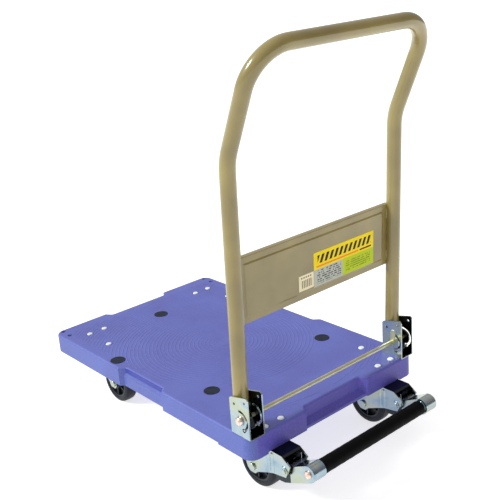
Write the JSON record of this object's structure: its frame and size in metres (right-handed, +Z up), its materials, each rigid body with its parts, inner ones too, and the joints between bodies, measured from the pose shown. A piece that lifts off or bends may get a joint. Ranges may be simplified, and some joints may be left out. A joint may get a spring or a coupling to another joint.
{
  "type": "folding platform cart",
  "caption": "Folding platform cart: ribbed plastic deck, folding tube handle with a cross panel, swivel and fixed casters, and a foot brake bar.",
  "frame": {"origin": "on the floor under the middle of the cart's whole length and width", "axes": "+X along the deck towards the handle and the brake bar, +Y across the deck, +Z up"},
  "size_m": [0.827, 0.4898, 0.8851],
  "materials": {
    "deck_polypropylene": "fine moulded texture, satin",
    "pad_rubber": "matt",
    "tyre_rubber": "matt, light mould lines",
    "sleeve_rubber": "satin",
    "zinc_steel": "bright zinc with a faint yellow-green tint",
    "plain_steel": "machined",
    "khaki_paint": "powder coat, gloss",
    "copper_zinc": "yellow-pink passivated steel",
    "gold_zinc": "yellow passivated steel",
    "white_coat": "coated bolt heads",
    "core_plastic": "moulded nylon",
    "label_yellow": "printed film",
    "label_cream": "printed film"
  },
  "bodies": {
    "deck": {"deck": "deck_polypropylene", "anti_slip_pads": "pad_rubber", "caster_bolts": "white_coat", "caster_nuts": "zinc_steel", "bracket_screws": "zinc_steel", "hinge_rod": "gold_zinc", "hinge_nuts": "copper_zinc", "hinge_washers": "zinc_steel", "rod_keepers": "gold_zinc", "axle_spacers": "plain_steel", "brake_pins": "zinc_steel", "brake_springs": "plain_steel", "hinge_bracket_left": "zinc_steel", "hinge_bracket_right": "zinc_steel", "swivel_plate_left": "zinc_steel", "swivel_plate_right": "zinc_steel", "swivel_balls_left": "plain_steel", "swivel_balls_right": "plain_steel", "kingpin_left": "zinc_steel", "kingpin_right": "zinc_steel", "fixed_plate_left": "zinc_steel", "fixed_plate_right": "zinc_steel", "fixed_fork_left": "zinc_steel", "fixed_fork_right": "zinc_steel", "rear_axle_left": "zinc_steel", "rear_axle_right": "zinc_steel", "rear_axle_nut_left": "zinc_steel", "rear_axle_nut_right": "zinc_steel"},
    "handle": {"handle_tube": "khaki_paint", "handle_panel": "khaki_paint", "main_label": "label_yellow", "small_label": "label_cream", "stop_pins": "plain_steel", "handle_foot_left": "zinc_steel", "handle_foot_right": "zinc_steel"},
    "brake_pedal": {"pedal_tube": "zinc_steel", "pedal_sleeve": "sleeve_rubber", "pedal_bolts": "copper_zinc", "pedal_arm_left": "zinc_steel", "pedal_arm_right": "zinc_steel", "brake_shoe_left": "sleeve_rubber", "brake_shoe_right": "sleeve_rubber"},
    "swivel_left": {"swivel_fork_left": "zinc_steel", "front_axle_left": "zinc_steel", "front_axle_nut_left": "zinc_steel"},
    "front_wheel_left": {"front_tyre_left": "tyre_rubber", "front_wheel_core_left": "core_plastic", "front_wheel_bush_left": "plain_steel"},
    "rear_wheel_left": {"rear_tyre_left": "tyre_rubber", "rear_wheel_core_left": "core_plastic", "rear_wheel_bush_left": "plain_steel"},
    "swivel_right": {"swivel_fork_right": "zinc_steel", "front_axle_right": "zinc_steel", "front_axle_nut_right": "zinc_steel"},
    "front_wheel_right": {"front_tyre_right": "tyre_rubber", "front_wheel_core_right": "core_plastic", "front_wheel_bush_right": "plain_steel"},
    "rear_wheel_right": {"rear_tyre_right": "tyre_rubber", "rear_wheel_core_right": "core_plastic", "rear_wheel_bush_right": "plain_steel"}
  },
  "joints": [
    {"name": "handle_fold", "type": "hinge", "parent": "deck", "child": "handle", "pos_m": [0.282, 0, 0.188], "axis": [0, 1, 0], "range_deg": [-90, 0]},
    {"name": "brake_press", "type": "hinge", "parent": "deck", "child": "brake_pedal", "pos_m": [0.3395, 0, 0.08], "axis": [0, 1, 0], "range_deg": [0, 10]},
    {"name": "swivel_turn_left", "type": "hinge", "parent": "deck", "child": "swivel_left", "pos_m": [-0.297, -0.1625, 0.11], "axis": [0, 0, 1], "continuous": true},
    {"name": "front_wheel_spin_left", "type": "hinge", "parent": "swivel_left", "child": "front_wheel_left", "pos_m": [-0.258, -0.1625, 0.05], "axis": [0, 1, 0], "continuous": true},
    {"name": "rear_wheel_spin_left", "type": "hinge", "parent": "deck", "child": "rear_wheel_left", "pos_m": [0.2475, -0.1625, 0.05], "axis": [0, 1, 0], "continuous": true},
    {"name": "swivel_turn_right", "type": "hinge", "parent": "deck", "child": "swivel_right", "pos_m": [-0.297, 0.1625, 0.11], "axis": [0, 0, 1], "continuous": true},
    {"name": "front_wheel_spin_right", "type": "hinge", "parent": "swivel_right", "child": "front_wheel_right", "pos_m": [-0.258, 0.1625, 0.05], "axis": [0, 1, 0], "continuous": true},
    {"name": "rear_wheel_spin_right", "type": "hinge", "parent": "deck", "child": "rear_wheel_right", "pos_m": [0.2475, 0.1625, 0.05], "axis": [0, 1, 0], "continuous": true}
  ]
}
